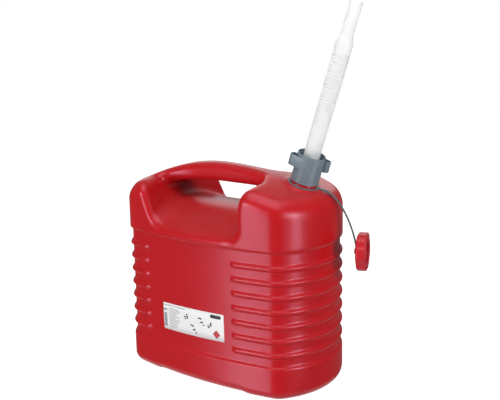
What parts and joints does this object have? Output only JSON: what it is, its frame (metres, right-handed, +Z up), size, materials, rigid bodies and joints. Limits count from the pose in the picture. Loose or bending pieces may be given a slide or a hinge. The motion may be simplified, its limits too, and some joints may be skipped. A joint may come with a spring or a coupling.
{
  "type": "jerry can",
  "caption": "Ribbed plastic fuel can with a top handle over hand scoops, a tilted threaded neck, a bendable pouring spout under a union nut, and a lobed cap on a strap.",
  "frame": {"origin": "middle of the flat base, on the surface the can stands on", "axes": "+Z up, +X towards the neck end, -Y towards the labelled long side"},
  "size_m": [0.4463, 0.2264, 0.6298],
  "materials": {
    "red_tank": "satin blow-moulded polyethylene",
    "red_cap": "satin moulded polyethylene",
    "grey_nut": "satin moulded plastic",
    "grey_strap": "satin moulded plastic",
    "natural_spout": "milky translucent polyethylene",
    "black_seal": "matt rubber",
    "label_film": "printed film"
  },
  "bodies": {
    "tank": {"tank_shell": "red_tank", "front_label": "label_film"},
    "spout": {"spout_tube": "natural_spout", "spout_seal": "black_seal", "spout_bellows": "natural_spout"},
    "nozzle": {"spout_nozzle": "natural_spout"},
    "nut": {"union_nut": "grey_nut"},
    "ring": {"strap_ring": "grey_strap"},
    "strap": {"cap_strap": "grey_strap"},
    "cap": {"cap_shell": "red_cap", "cap_seal": "black_seal"}
  },
  "joints": [
    {"name": "spout_lift", "type": "slide", "parent": "tank", "child": "spout", "axis": [0.3173, 0, 0.9483], "range_m": [0, 0.012]},
    {"name": "nut_turn", "type": "hinge", "parent": "spout", "child": "nut", "pos_m": [0.145, 0, 0.34572], "axis": [0.3173, 0, 0.9483], "range_deg": [0, 1081]},
    {"name": "spout_bend", "type": "hinge", "parent": "spout", "child": "nozzle", "pos_m": [0.19878, 0, 0.50646], "axis": [0, 1, 0], "range_deg": [-60, 60], "deforming": ["spout_bellows"]},
    {"name": "strap_swivel", "type": "hinge", "parent": "tank", "child": "ring", "pos_m": [0.145, 0, 0.34572], "axis": [0.3173, 0, 0.9483], "range_deg": [-55, 22]},
    {"name": "strap_flex", "type": "hinge", "parent": "ring", "child": "strap", "pos_m": [0.17216, 0.01161, 0.33157], "axis": [0.3584, -0.9336, 0], "range_deg": [0, 85], "stiffness_Nm_per_rad": 0.35, "springref_deg": 2.41},
    {"name": "cap_spin", "type": "hinge", "parent": "strap", "child": "cap", "pos_m": [0.225, 0.03189, 0.23277], "axis": [0.9336, 0.3584, 0], "continuous": true}
  ],
  "couplings": [
    {"joint": "nut_turn", "follows": "spout_lift", "rad_per_m": 1570.8}
  ]
}
